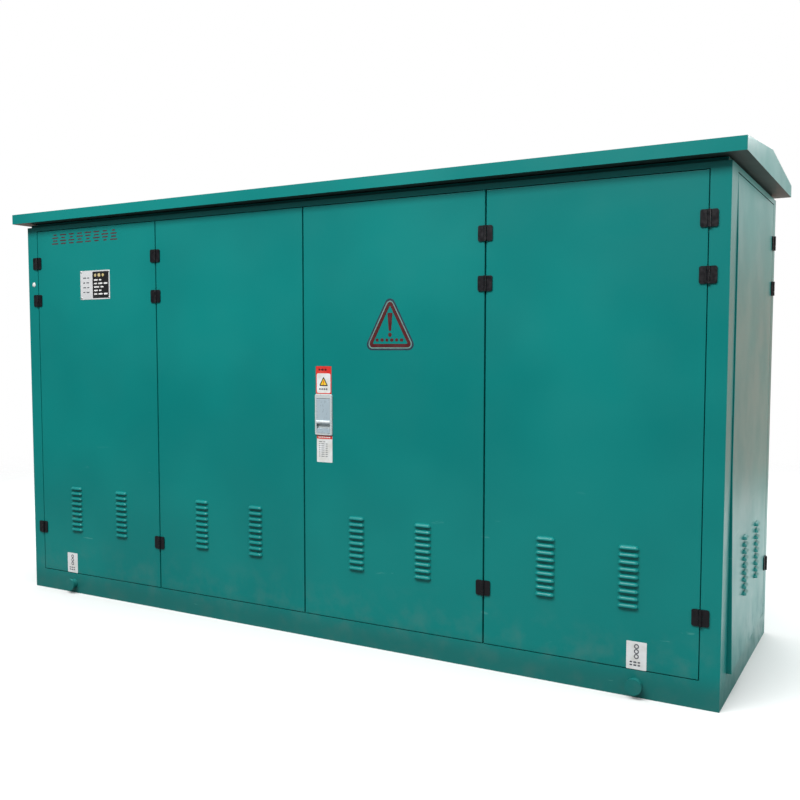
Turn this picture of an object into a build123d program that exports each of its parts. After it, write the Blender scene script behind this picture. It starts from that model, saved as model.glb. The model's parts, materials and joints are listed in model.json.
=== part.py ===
from build123d import *
import os

os.makedirs("parts", exist_ok=True)

# Pad-mounted 10 kV cable branch cabinet. Millimetres, +Z up, +X to the right of someone facing the
# doors, +Y into the cabinet. The origin is on the ground, under the middle of the body.

# ---- driving dimensions: body ----
body_width = 2900.0
body_depth = 900.0
sill_height = 84.0
opening_height = 1483.0
header_lip = 18.0
vent_gap = 15.0
roof_fascia = 40.0
roof_rise = 44.0
roof_overhang = 45.0
post_width = 58.0            # seen on the long sides
front_post_return = 100.0    # seen on the ends, beside the side door's free edge
rear_post_return = 50.0      # seen on the ends, beside the side door's hinges

# ---- driving dimensions: sheet metal ----
sill_sheet = 4.0
post_sheet = 3.0
skin = 2.0
sill_flange = 60.0
header_flange = 90.0
header_return = 25.0
stop_height = 22.0
stop_width = 25.0

# ---- driving dimensions: leaves ----
inner_leaf = 708.0
seam_gap = 5.0
edge_gap = 2.0
pan_depth = 28.0
lip = 20.0
bend_radius = 2.5
gasket_width = 14.0
gasket_thickness = 6.0
gasket_clearance = 0.5
stiffener_width = 44.0
stiffener_depth = 20.0
stiffener_from_bottom = 556.0
stiffener_from_top = 447.0
stiffener_margin = 34.0
latch_margin = 150.0         # kept free of stiffeners beside rods and bolts

# ---- driving dimensions: louvres ----
louvre_length = 63.0
louvre_radius = 11.0
louvre_wall = 1.5
louvre_pitch = 22.25
louvre_rows = 9
louvre_base = 276.0          # height of the lowest opening
louvre_column_spacing = 262.0

# ---- driving dimensions: hinges ----
hinge_size = 50.0
hinge_plate = 4.0
knuckle_radius = 5.0
hinge_pin_radius = 2.0
running_clearance = 0.06
knuckle_gap = 0.8
middle_knuckle = 20.0
hinge_corner = 6.0
hinge_from_bottom = 189.0
hinge_from_top = (299.0, 139.0)

# ---- driving dimensions: lock and bolts ----
lock_from_seam = 88.0
lock_height = 822.0
lock_width = 72.0
lock_length = 148.0
lock_bezel = 7.0
lock_proud = 6.0
lock_housing_depth = 15.0
lock_corner = 6.0
lock_top_bar = 10.0
lock_play = 0.5
handle_top_gap = 2.0
handle_length = 91.0
handle_thickness = 5.0
grip_height = 15.0
grip_swell = 3.0
handle_pin_radius = 2.0
button_length = 17.0
button_travel = 3.0
rod_radius = 3.5
rod_clearance = 0.7
rod_inner_end = 24.0         # from the lock's middle
gearbox_size = (46.0, 90.0, 20.0)
rod_guide_from_end = 120.0
rod_guide_from_lock = 260.0
bolt_radius = 5.0
bolt_length = 220.0
bolt_from_edge = 60.0
bolt_clearance = 0.8
bolt_tip_gap = 2.0
bolt_guide_offsets = (55.0, 175.0)
guide_width = 22.0
guide_height = 16.0
keeper_clearance = 2.0

# ---- driving dimensions: switchgear inside ----
way_spacing = 660.0
phase_spacing = 150.0
phase_heights = (920.0, 1020.0, 1120.0)
frame_section = 40.0
frame_wall = 3.0
frame_y = 40.0               # front face of the uprights
upright_top = 1400.0
rail_heights = (800.0, 1240.0)
cable_rail_height = 420.0
floor_sheet = 3.0
floor_side_gap = 50.0
bushing_plate = 5.0
bushing_plate_margin = 60.0
bushing_radius = 30.0
bushing_flange_radius = 44.0
bushing_flange = 9.0
bushing_cone = 85.0
bushing_tip_radius = 22.0
bushing_rear = 105.0
bushing_hole_clearance = 0.5
cap_wall = 6.0
cap_clearance = 0.4
cap_eye = 18.0
busbar_height = 40.0
busbar_thickness = 8.0
busbar_overrun = 60.0
earth_bar_height = 140.0
earth_bar_section = (5.0, 40.0)
earth_bar_holes = 24
earth_bar_hole_radius = 5.5
grommet_radius = 45.0
grommet_y = -180.0

# ---- driving dimensions: fasteners, lifting pins, plate ----
foundation_hole_radius = 9.0
foundation_from_end = 150.0
foundation_inset = 35.0
lifting_pin_radius = 20.0
lifting_rim_radius = 25.0
lifting_pin_length = 22.0
lifting_rim = 8.0
lifting_from_end = 242.0
lifting_z = 40.0
roof_bolt_radius = 5.0
roof_bolt_inset = 45.0
roof_bolt_columns = 5
roof_bolt_from_end = 150.0
spacer_radius = 12.0
soffit_inset = 80.0
neck_inset = 70.0
neck_corner_gap = 120.0
neck_slot = (40.0, 6.0)
neck_slot_pitch = 52.0
panel_screw_radius = 4.0
panel_screw_rows = 5
panel_screw_end = 100.0
hex_size = 16.0
hex_height = 6.0
hole_clearance = 0.5
nameplate_size = (170.0, 120.0, 1.0)
nameplate_from_post = 347.0
nameplate_from_top = 242.0

# ---- derived places ----
half_width = body_width / 2
half_depth = body_depth / 2
half_opening = half_width - post_width
outer_leaf = half_opening - inner_leaf
door_top = sill_height + opening_height
header_top = door_top + header_lip
roof_bottom = header_top + vent_gap
leaf_height = opening_height - 2 * edge_gap
leaf_bottom = sill_height + edge_gap
rod_depth = pan_depth - skin - bolt_radius    # rods and bolts bear on the inner lip
stop_depth = pan_depth + gasket_thickness + gasket_clearance
end_opening = (front_post_return - half_depth, half_depth - rear_post_return)
hinge_heights = [sill_height + hinge_from_bottom] + [door_top - step for step in hinge_from_top]
stiffener_heights = (sill_height + stiffener_from_bottom, door_top - stiffener_from_top)
rod_guide_heights = (
    sill_height + rod_guide_from_end,
    lock_height - rod_guide_from_lock,
    lock_height + rod_guide_from_lock,
    door_top - rod_guide_from_end,
)
way_positions = [way_spacing * step for step in (-1.5, -0.5, 0.5, 1.5)]
upright_positions = [way_spacing * step for step in (-2, -1, 1, 2)]
seams = (-half_opening, -inner_leaf, 0.0, inner_leaf, half_opening)
floor_level = sill_sheet + frame_section
frame_back = frame_y + frame_section
rail_front = frame_y - frame_section
busbar_y = rail_front - bushing_plate + bushing_rear

front_face = Plane(origin=(0, -half_depth, 0), x_dir=(1, 0, 0), z_dir=(0, -1, 0))
rear_face = Plane(origin=(0, half_depth, 0), x_dir=(-1, 0, 0), z_dir=(0, 1, 0))
right_face = Plane(origin=(half_width, 0, 0), x_dir=(0, 1, 0), z_dir=(1, 0, 0))
left_face = Plane(origin=(-half_width, 0, 0), x_dir=(0, -1, 0), z_dir=(-1, 0, 0))
LOW = (Align.MIN, Align.MIN)


def write(piece, name):
    """Label a finished piece and write it to its own file."""
    piece.part.label = name
    export_step(piece.part, f"parts/{name}.step")


def folded(points, thickness, side):
    """Sketch face of a folded sheet: an outline thickened to one side."""
    with BuildLine() as outline:
        Polyline(*points)
        offset(amount=thickness, side=side, kind=Kind.INTERSECTION)
    make_face(outline.edges())


def block(plane, low, high, depth, mode=Mode.ADD):
    """Box on a plane between two corners, reaching from depth[0] to depth[1] along its normal."""
    with BuildSketch(plane.offset(depth[0])) as outline:
        with Locations(low):
            Rectangle(high[0] - low[0], high[1] - low[1], align=LOW)
    extrude(outline.sketch, amount=depth[1] - depth[0], mode=mode)


def rods(plane, spots, radius, depth, mode=Mode.ADD):
    """Cylinders on a plane, reaching from depth[0] to depth[1] along its normal."""
    with BuildSketch(plane.offset(depth[0])) as outline:
        with Locations(*spots):
            Circle(radius)
    extrude(outline.sketch, amount=depth[1] - depth[0], mode=mode)


def hexes(plane, spots, depth):
    """Hexagon heads or nuts on a plane."""
    with BuildSketch(plane.offset(depth[0])) as outline:
        with Locations(*spots):
            RegularPolygon(hex_size / 2, 6, major_radius=False)
    extrude(outline.sketch, amount=depth[1] - depth[0])


# ================= base frame and headers =================
# Four folded members, mitred at the corners. The profile is drawn as (inwards, up).
sill_profile = (
    (sill_flange, 0.0),
    (0.0, 0.0),
    (0.0, sill_height),
    (stop_depth, sill_height),
)
header_profile = (
    (stop_depth, door_top),
    (0.0, door_top),
    (0.0, header_top),
    (header_flange, header_top),
    (header_flange, header_top - header_return),
)


def member(face, profile, thickness, half_length, keep):
    """One folded member along a face, cut to 45 degrees at both ends."""
    section = Plane(origin=face.origin, x_dir=-face.z_dir, z_dir=face.x_dir)
    with BuildSketch(section) as outline:
        folded(profile, thickness, Side.RIGHT)
    extrude(outline.sketch, amount=half_length, both=True)
    for end in (-1, 1):
        corner = face.origin + face.x_dir * (end * half_length)
        normal = face.x_dir * end + face.z_dir * -1
        split(bisect_by=Plane(origin=corner, z_dir=normal), keep=keep)


def stop_strip(face, span, levels):
    """Door stop standing on a member, kept clear of the posts' own stops."""
    depth = (-stop_depth - post_sheet, -stop_depth)
    block(face, (span[0] + stop_width, levels[0]), (span[1] - stop_width, levels[1]), depth)


def mirrored_span(face, span):
    """The end opening's span along a face's own x direction."""
    return span if face.x_dir.Y > 0 else (-span[1], -span[0])


long_span = (-half_opening, half_opening)
faces_and_spans = (
    (front_face, half_width, long_span),
    (rear_face, half_width, long_span),
    (right_face, half_depth, mirrored_span(right_face, end_opening)),
    (left_face, half_depth, mirrored_span(left_face, end_opening)),
)
sill_stop = (sill_height - sill_sheet, sill_height + stop_height)
header_stop = (door_top - stop_height, door_top + post_sheet)

members = {"sill": [], "header": []}
for face, half_length, span in faces_and_spans:
    with BuildPart() as sill:
        member(face, sill_profile, sill_sheet, half_length, Keep.BOTTOM)
        stop_strip(face, span, sill_stop)
    members["sill"].append(sill.part)
    with BuildPart() as header:
        member(face, header_profile, post_sheet, half_length, Keep.BOTTOM)
        stop_strip(face, span, header_stop)
    members["header"].append(header.part)

# Keeper holes for the rods and bolts: two for the lock and the passive leaf, one for the side door.
keepers = (
    (front_face, lock_from_seam, rod_depth, rod_radius),
    (front_face, -bolt_from_edge, rod_depth, bolt_radius),
    (right_face, end_opening[0] + bolt_from_edge, rod_depth, bolt_radius),
)


def keeper_holes(levels):
    """Cut the keeper holes between two heights."""
    for face, along, depth, radius in keepers:
        spot = face.origin + face.x_dir * along + face.z_dir * -depth
        level = Plane.XY.offset(levels[0])
        hole = radius + keeper_clearance
        rods(level, [(spot.X, spot.Y)], hole, (0, levels[1] - levels[0]), Mode.SUBTRACT)


foundation_x = half_width - foundation_from_end
foundation_y = half_depth - foundation_inset
foundation_spots = [(x, y) for x in (-foundation_x, foundation_x) for y in (-foundation_y, foundation_y)]
with BuildPart() as base_frame:
    add(members["sill"])
    rods(Plane.XY, foundation_spots, foundation_hole_radius, (0, sill_sheet), Mode.SUBTRACT)
    keeper_holes((sill_height - sill_sheet, sill_height))
write(base_frame, "base_frame")

first_bolt = roof_bolt_from_end - half_width
roof_bolt_spacing = -2 * first_bolt / (roof_bolt_columns - 1)
roof_bolt_y = half_depth - roof_bolt_inset
roof_bolt_spots = [
    (first_bolt + column * roof_bolt_spacing, y)
    for column in range(roof_bolt_columns)
    for y in (-roof_bolt_y, roof_bolt_y)
]
roof_hole = roof_bolt_radius + hole_clearance
with BuildPart() as header_frame:
    add(members["header"])
    keeper_holes((door_top, door_top + post_sheet))
    top_flange = (header_top - post_sheet, header_top)
    rods(Plane.XY, roof_bolt_spots, roof_hole, top_flange, Mode.SUBTRACT)
write(header_frame, "header_frame")

# ================= posts =================
# Rows of screws through the stops hold the fixed covers from inside.
screw_pitch = (leaf_height - 2 * panel_screw_end) / (panel_screw_rows - 1)
screw_heights = [leaf_bottom + panel_screw_end + row * screw_pitch for row in range(panel_screw_rows)]
screw_inset = edge_gap + skin + lip / 2
mullion_offset = seam_gap / 2 + skin + lip / 2
rear_screw_columns = (
    -half_opening + screw_inset,
    -mullion_offset,
    mullion_offset,
    half_opening - screw_inset,
)
left_span = mirrored_span(left_face, end_opening)
left_screw_columns = (left_span[0] + screw_inset, left_span[1] - screw_inset)


def screw_spots(columns):
    """Places of the screws on a face."""
    return [(column, height) for column in columns for height in screw_heights]


def screw_holes(face, columns, depth):
    """Holes for the cover screws."""
    spots = screw_spots(columns)
    rods(face, spots, panel_screw_radius + hole_clearance, depth, Mode.SUBTRACT)


def post_profile(end_return):
    """Folded post at the right front corner, with a stop for each of its two openings."""
    inner_x = half_width - stop_depth
    inner_y = stop_depth - half_depth
    return (
        (half_opening - stop_width, inner_y),
        (half_opening, inner_y),
        (half_opening, -half_depth),
        (half_width, -half_depth),
        (half_width, end_return - half_depth),
        (inner_x, end_return - half_depth),
        (inner_x, end_return - half_depth + stop_width),
    )


stop_band = (-stop_depth - post_sheet, -stop_depth)
with BuildPart() as front_posts:
    with BuildSketch(Plane.XY.offset(sill_height)) as outline:
        folded(post_profile(front_post_return), post_sheet, Side.LEFT)
        mirror(about=Plane.YZ)
    extrude(amount=opening_height)
    screw_holes(left_face, left_screw_columns, stop_band)
write(front_posts, "front_posts")

with BuildPart() as rear_posts:
    with BuildSketch(Plane.XY.offset(sill_height)) as outline:
        folded(post_profile(rear_post_return), post_sheet, Side.LEFT)
        mirror(about=Plane.YZ)
    extrude(amount=opening_height)
    mirror(about=Plane.XZ, mode=Mode.REPLACE)
    screw_holes(rear_face, rear_screw_columns, stop_band)
    screw_holes(left_face, left_screw_columns, stop_band)
write(rear_posts, "rear_posts")

mullion_half = stop_width + seam_gap
mullion_web = 30.0
with BuildPart() as rear_mullion:
    back = half_depth - stop_depth
    profile = (
        (-mullion_half + stop_width / 2, back - mullion_web - stop_width / 2),
        (-mullion_half, back - mullion_web),
        (-mullion_half, back),
        (mullion_half, back),
        (mullion_half, back - mullion_web),
        (mullion_half - stop_width / 2, back - mullion_web - stop_width / 2),
    )
    with BuildSketch(Plane.XY.offset(sill_height + stop_height)) as outline:
        folded(profile, post_sheet, Side.RIGHT)
    extrude(amount=opening_height - 2 * stop_height)
    screw_holes(rear_face, rear_screw_columns, stop_band)
write(rear_mullion, "rear_mullion")

# ================= roof =================
roof_half_width = half_width + roof_overhang
roof_half_depth = half_depth + roof_overhang
eaves = roof_bottom + roof_fascia
ridge = eaves + roof_rise
ridge_radius = 12.0
corner_radius = 3.0


def gable(inset, bottom):
    """Five-sided end outline of the roof, inset by the sheet's thickness."""
    with BuildLine() as outline:
        Polyline(
            (-roof_half_depth + inset, bottom),
            (roof_half_depth - inset, bottom),
            (roof_half_depth - inset, eaves - inset),
            (0, ridge - inset),
            (-roof_half_depth + inset, eaves - inset),
            close=True,
        )
    make_face(outline.edges())


with BuildPart() as roof_shell:
    with BuildSketch(Plane.YZ) as outer:
        gable(0, roof_bottom)
    extrude(amount=roof_half_width, both=True)
    upright_edges = roof_shell.edges().filter_by(Axis.Z)
    fillet(upright_edges, corner_radius)
    with BuildSketch(Plane.YZ) as inner:
        gable(skin, roof_bottom + skin)
    extrude(amount=roof_half_width - skin, both=True, mode=Mode.SUBTRACT)
    mouth_x = half_width - soffit_inset
    mouth_y = half_depth - soffit_inset
    soffit = (roof_bottom, roof_bottom + skin)
    block(Plane.XY, (-mouth_x, -mouth_y), (mouth_x, mouth_y), soffit, Mode.SUBTRACT)
    rods(Plane.XY, roof_bolt_spots, roof_hole, soffit, Mode.SUBTRACT)
write(roof_shell, "roof_shell")

with BuildPart() as roof_spacers:
    rods(Plane.XY, roof_bolt_spots, spacer_radius, (header_top, roof_bottom))
    rods(Plane.XY, roof_bolt_spots, roof_hole, (header_top, roof_bottom), Mode.SUBTRACT)
write(roof_spacers, "roof_spacers")

with BuildPart() as roof_bolts:
    shank = (header_top - post_sheet, roof_bottom + skin + hex_height)
    rods(Plane.XY, roof_bolt_spots, roof_bolt_radius, shank)
    hexes(Plane.XY, roof_bolt_spots, (shank[0] - hex_height, shank[0]))
    hexes(Plane.XY, roof_bolt_spots, (shank[1] - hex_height, shank[1]))
write(roof_bolts, "roof_bolts")

# Slotted strips close the ventilation gap behind the fascia and stop short of the corners.
with BuildPart() as vent_screens:
    for face, half_length, span in faces_and_spans:
        reach = half_length - neck_inset - neck_corner_gap
        depth = (-neck_inset - skin, -neck_inset)
        block(face, (-reach, header_top), (reach, roof_bottom), depth)
        slots = int(2 * reach // neck_slot_pitch)
        with BuildSketch(face.offset(depth[1])) as openings:
            with Locations((0, header_top + vent_gap / 2)):
                with GridLocations(neck_slot_pitch, 1, slots, 1):
                    SlotOverall(*neck_slot)
        extrude(openings.sketch, amount=-skin, mode=Mode.SUBTRACT)
write(vent_screens, "vent_screens")

# ================= louvre shapes =================


def louvre_solid(radius, length):
    """Quarter of a capsule: it stands out of the face above its opening line."""
    with BuildSketch(Plane.XY) as outline:
        SlotOverall(length, 2 * radius)
        Rectangle(length, 2 * radius, align=(Align.CENTER, Align.MAX), mode=Mode.SUBTRACT)
    revolve(outline.sketch, axis=Axis.X, revolution_arc=90)


with BuildPart() as louvre_hood:
    louvre_solid(louvre_radius, louvre_length)

with BuildPart() as louvre_hollow:
    hollow_length = louvre_length - 2 * louvre_wall
    louvre_solid(louvre_radius - louvre_wall, hollow_length)
    with BuildSketch(Plane.XY) as outline:
        SlotOverall(hollow_length, 2 * (louvre_radius - louvre_wall))
        Rectangle(louvre_length, 2 * louvre_radius, align=(Align.CENTER, Align.MAX), mode=Mode.SUBTRACT)
    extrude(amount=-skin)


def louvre_spots(columns):
    """Opening lines of every louvre in the given columns."""
    rows = range(louvre_rows)
    return [(column, louvre_base + row * louvre_pitch, 0) for column in columns for row in rows]


def pan(builder, face, left, right):
    """Door or cover pan: skin, return flanges and an inner lip, with rounded front edges."""
    top = leaf_bottom + leaf_height
    block(face, (left, leaf_bottom), (right, top), (-pan_depth, 0))
    front = builder.faces().sort_by(Axis(face.origin, face.z_dir))[-1]
    fillet(front.edges(), bend_radius)
    low = (left + skin, leaf_bottom + skin)
    high = (right - skin, top - skin)
    block(face, low, high, (skin - pan_depth, -skin), Mode.SUBTRACT)
    low = (low[0] + lip, low[1] + lip)
    high = (high[0] - lip, high[1] - lip)
    block(face, low, high, (-pan_depth, skin - pan_depth), Mode.SUBTRACT)


def press_louvres(face, columns):
    """Press louvres into the skin of a pan."""
    with Locations(face):
        with Locations(*louvre_spots(columns)):
            add(louvre_hood.part)
            add(louvre_hollow.part, mode=Mode.SUBTRACT)


def louvre_columns(left, right, count):
    """Columns spaced evenly about the middle of a panel."""
    middle = (left + right) / 2
    first = middle - (count - 1) / 2 * louvre_column_spacing
    return [first + column * louvre_column_spacing for column in range(count)]


def ring(face, left, right):
    """Rubber gasket on the lip of a pan."""
    edge = skin + (lip - gasket_width) / 2
    low = (left + edge, leaf_bottom + edge)
    high = (right - edge, leaf_bottom + leaf_height - edge)
    depth = (-pan_depth - gasket_thickness, -pan_depth)
    block(face, low, high, depth)
    low = (low[0] + gasket_width, low[1] + gasket_width)
    high = (high[0] - gasket_width, high[1] - gasket_width)
    block(face, low, high, depth, Mode.SUBTRACT)


def stiffeners(face, left, right):
    """Two folded channels welded across the back of a skin."""
    for height in stiffener_heights:
        low = (left, height - stiffener_width / 2)
        high = (right, height + stiffener_width / 2)
        block(face, low, high, (-skin - stiffener_depth, -skin))
        low = (low[0], low[1] + skin)
        high = (high[0], high[1] - skin)
        block(face, low, high, (-stiffener_depth, -skin), Mode.SUBTRACT)


def guides(face, along, heights, radius):
    """Blocks on the back of a skin that hold a rod."""
    back = -rod_depth - radius - skin
    for height in heights:
        low = (along - guide_width / 2, height - guide_height / 2)
        high = (along + guide_width / 2, height + guide_height / 2)
        block(face, low, high, (back, -skin))
        spot = face.origin + face.x_dir * along + face.z_dir * -rod_depth
        level = Plane.XY.offset(height - guide_height / 2)
        rods(level, [(spot.X, spot.Y)], radius, (0, guide_height), Mode.SUBTRACT)


# ================= front leaves and side door =================
# Each entry: name, face, left edge, right edge, side of the panel that carries rods or bolts.
leaf_edges = [(seams[i] + seam_gap / 2, seams[i + 1] - seam_gap / 2) for i in range(4)]
doors = (
    ("leaf_1", front_face, *leaf_edges[0], None),
    ("leaf_2", front_face, *leaf_edges[1], "right"),
    ("leaf_3", front_face, *leaf_edges[2], "left"),
    ("leaf_4", front_face, *leaf_edges[3], None),
    ("side_door", right_face, end_opening[0] + seam_gap / 2, end_opening[1] - seam_gap / 2, "left"),
)
housing_width = lock_width - 2 * lock_bezel
housing_length = lock_length - 2 * lock_bezel
leaf_top = leaf_bottom + leaf_height
bolt_rows = (
    ("leaf_2", front_face, -bolt_from_edge),
    ("side_door", right_face, end_opening[0] + bolt_from_edge),
)
bolt_guide_heights = [leaf_bottom + step for step in bolt_guide_offsets]
bolt_guide_heights += [leaf_top - step for step in bolt_guide_offsets]
bolt_hole = bolt_radius + bolt_clearance

# The rod or bolt line of a panel: distance along the face, hole radius, heights of its guides.
rod_lines = {
    "leaf_2": (-bolt_from_edge, bolt_hole, bolt_guide_heights),
    "leaf_3": (lock_from_seam, rod_radius + rod_clearance, rod_guide_heights),
    "side_door": (end_opening[0] + bolt_from_edge, bolt_hole, bolt_guide_heights),
}


def edge_holes(face, along, radius):
    """Holes in the top and bottom flanges of a pan for a rod."""
    spot = face.origin + face.x_dir * along + face.z_dir * -rod_depth
    for level in (leaf_bottom, leaf_bottom + leaf_height - skin):
        rods(Plane.XY.offset(level), [(spot.X, spot.Y)], radius, (0, skin), Mode.SUBTRACT)


for name, face, left, right, latch_side in doors:
    with BuildPart() as panel:
        pan(panel, face, left, right)
        press_louvres(face, louvre_columns(left, right, 2))
        if name in rod_lines:
            edge_holes(face, *rod_lines[name][:2])
        if name == "leaf_3":
            half = (housing_width / 2 + hole_clearance, housing_length / 2 + hole_clearance)
            low = (lock_from_seam - half[0], lock_height - half[1])
            high = (lock_from_seam + half[0], lock_height + half[1])
            block(face, low, high, (-skin, 0), Mode.SUBTRACT)
    write(panel, f"{name}_panel")

    with BuildPart() as back_frame:
        start = left + (latch_margin if latch_side == "left" else stiffener_margin)
        finish = right - (latch_margin if latch_side == "right" else stiffener_margin)
        stiffeners(face, start, finish)
        if name in rod_lines:
            along, radius, heights = rod_lines[name]
            guides(face, along, heights, radius)
    write(back_frame, f"{name}_back_frame")

    with BuildPart() as gasket:
        ring(face, left, right)
    write(gasket, f"{name}_gasket")

# ================= fixed covers =================
rear_edges = (
    (-half_opening + edge_gap, -seam_gap / 2),
    (seam_gap / 2, half_opening - edge_gap),
)
with BuildPart() as rear_cover_left:
    pan(rear_cover_left, rear_face, *rear_edges[1])
    press_louvres(rear_face, louvre_columns(*rear_edges[1], 4))
    screw_holes(rear_face, rear_screw_columns, (-pan_depth, skin - pan_depth))
write(rear_cover_left, "rear_cover_left")

with BuildPart() as rear_cover_right:
    pan(rear_cover_right, rear_face, *rear_edges[0])
    press_louvres(rear_face, louvre_columns(*rear_edges[0], 4))
    screw_holes(rear_face, rear_screw_columns, (-pan_depth, skin - pan_depth))
write(rear_cover_right, "rear_cover_right")

cover_edges = (left_span[0] + edge_gap, left_span[1] - edge_gap)
with BuildPart() as end_cover:
    pan(end_cover, left_face, *cover_edges)
    press_louvres(left_face, louvre_columns(*cover_edges, 2))
    screw_holes(left_face, left_screw_columns, (-pan_depth, skin - pan_depth))
write(end_cover, "end_cover")

with BuildPart() as cover_screws:
    for face, columns in ((rear_face, rear_screw_columns), (left_face, left_screw_columns)):
        spots = screw_spots(columns)
        back = -stop_depth - post_sheet
        rods(face, spots, panel_screw_radius, (back, 2 * skin - pan_depth))
        hexes(face, spots, (back - hex_height, back))
write(cover_screws, "cover_screws")

# ================= hinges =================
# Templates stand on the face, with the pin's axis upright over the seam.
pin_offset = knuckle_radius
half_hinge = hinge_size / 2
pin_bore = hinge_pin_radius + running_clearance


def hinge_leaf(knuckles):
    """Hinge leaf to the right of the seam, with a knuckle over each (low, high) span."""
    clear = knuckle_radius + knuckle_gap
    with BuildSketch(Plane.XY) as outline:
        with Locations((clear, -half_hinge)):
            Rectangle(half_hinge - clear, hinge_size, align=LOW)
        fillet(outline.vertices().group_by(Axis.X)[-1], hinge_corner)
    extrude(outline.sketch, amount=hinge_plate)
    across = Plane(origin=(0, 0, 0), x_dir=(1, 0, 0), z_dir=(0, 1, 0))
    for low, high in knuckles:
        block(Plane.XY, (0, low), (clear, high), (knuckle_gap, hinge_plate))
        rods(across, [(0, -pin_offset)], knuckle_radius, (low, high))
    rods(across, [(0, -pin_offset)], pin_bore, (-half_hinge, half_hinge), Mode.SUBTRACT)


outer_low = middle_knuckle / 2
middle_high = outer_low - knuckle_gap
with BuildPart() as fixed_leaf:
    hinge_leaf([(-half_hinge, -outer_low), (outer_low, half_hinge)])

with BuildPart() as moving_leaf:
    hinge_leaf([(-middle_high, middle_high)])

with BuildPart() as hinge_pin:
    upright = Plane(origin=(0, 0, 0), x_dir=(1, 0, 0), z_dir=(0, 1, 0))
    rods(upright, [(0, -pin_offset)], hinge_pin_radius, (-half_hinge, half_hinge))


def hinge_places(face, seam, turn=0):
    """Places of the three hinges on a seam; turn is 180 for the side left of the seam."""
    return [Location(face) * Location((seam, height, 0), (0, 0, turn)) for height in hinge_heights]


side_seam = end_opening[1]
left_post, right_post = seams[0], seams[4]
left_fold, right_fold = seams[1], seams[3]
hinge_nodes = {
    "post_hinge_leaves": [
        (fixed_leaf, front_face, left_post, 180),
        (fixed_leaf, front_face, right_post, 0),
        (fixed_leaf, right_face, side_seam, 0),
    ],
    "leaf_1_hinge_leaves": [
        (moving_leaf, front_face, left_post, 0),
        (fixed_leaf, front_face, left_fold, 180),
    ],
    "leaf_2_hinge_leaves": [(moving_leaf, front_face, left_fold, 0)],
    "leaf_3_hinge_leaves": [(moving_leaf, front_face, right_fold, 180)],
    "leaf_4_hinge_leaves": [
        (moving_leaf, front_face, right_post, 180),
        (fixed_leaf, front_face, right_fold, 0),
    ],
    "side_door_hinge_leaves": [(moving_leaf, right_face, side_seam, 180)],
    "post_hinge_pins": [
        (hinge_pin, front_face, left_post, 0),
        (hinge_pin, front_face, right_post, 0),
        (hinge_pin, right_face, side_seam, 0),
    ],
    "leaf_1_hinge_pins": [(hinge_pin, front_face, left_fold, 0)],
    "leaf_4_hinge_pins": [(hinge_pin, front_face, right_fold, 0)],
}
for name, entries in hinge_nodes.items():
    with BuildPart() as hinge_set:
        for template, face, seam, turn in entries:
            with Locations(*hinge_places(face, seam, turn)):
                add(template.part)
    write(hinge_set, name)

# ================= lock on leaf 3 =================
lock_plane = Plane(front_face.origin + Vector(lock_from_seam, 0, lock_height), (1, 0, 0), (0, -1, 0))
half_lock = (lock_width / 2, lock_length / 2)
half_housing = (housing_width / 2, housing_length / 2)
button_bottom = -half_housing[1]
button_top = button_bottom + button_length
handle_top = half_housing[1] - lock_top_bar
handle_bottom = handle_top - handle_length
half_handle = half_housing[0] - lock_play
pocket_floor = lock_proud - handle_thickness - 5.0
handle_pin_height = handle_top - handle_thickness
handle_pin_depth = lock_proud - handle_thickness / 2 - 1.0
button_floor = -lock_housing_depth + 3.0
sideways = Plane(lock_plane.origin, x_dir=lock_plane.y_dir, z_dir=lock_plane.x_dir)

with BuildPart() as lock_body:
    with BuildSketch(lock_plane) as bezel:
        RectangleRounded(lock_width, lock_length, lock_corner)
    extrude(amount=lock_proud)
    chamfer(lock_body.faces().sort_by(Axis.Y)[0].edges(), 1.5)
    half = (half_housing[0] - hole_clearance, half_housing[1] - hole_clearance)
    block(lock_plane, (-half[0], -half[1]), half, (-lock_housing_depth, 0))
    low = (-half_housing[0], handle_bottom - lock_play)
    high = (half_housing[0], handle_top + handle_top_gap)
    block(lock_plane, low, high, (pocket_floor, lock_proud), Mode.SUBTRACT)
    low = (-half_housing[0], button_top + lock_play)
    high = (half_housing[0], handle_bottom)
    block(lock_plane, low, high, (pocket_floor, lock_proud), Mode.SUBTRACT)
    low = (-half_handle, button_bottom)
    high = (half_handle, button_top + lock_play)
    block(lock_plane, low, high, (button_floor, lock_proud), Mode.SUBTRACT)
    pin_spot = [(handle_pin_height, handle_pin_depth)]
    pin_reach = half_housing[0] + lock_bezel / 2
    rods(sideways, pin_spot, handle_pin_radius, (-pin_reach, pin_reach))
write(lock_body, "lock_body")

with BuildPart() as lock_handle:
    low, high = (-half_handle, handle_bottom), (half_handle, handle_top)
    block(lock_plane, low, high, (lock_proud - handle_thickness, lock_proud))
    fillet(lock_handle.edges().filter_by(Axis.X).group_by(Axis.Y)[0], 1.5)
    grip = Plane(lock_plane.origin, x_dir=lock_plane.y_dir, z_dir=lock_plane.x_dir)
    with BuildSketch(grip) as swell:
        with BuildLine() as outline:
            start = (handle_bottom + 1.0, lock_proud - 1.5)
            crest = (handle_bottom + grip_height / 2, lock_proud + grip_swell)
            finish = (handle_bottom + grip_height, lock_proud - 1.5)
            ThreePointArc(start, crest, finish)
            Line(finish, start)
        make_face()
    extrude(amount=half_handle, both=True)
    pin_spot = [(handle_pin_height, handle_pin_depth)]
    bore = handle_pin_radius + running_clearance
    rods(sideways, pin_spot, bore, (-half_lock[0], half_lock[0]), Mode.SUBTRACT)
write(lock_handle, "lock_handle")

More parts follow.
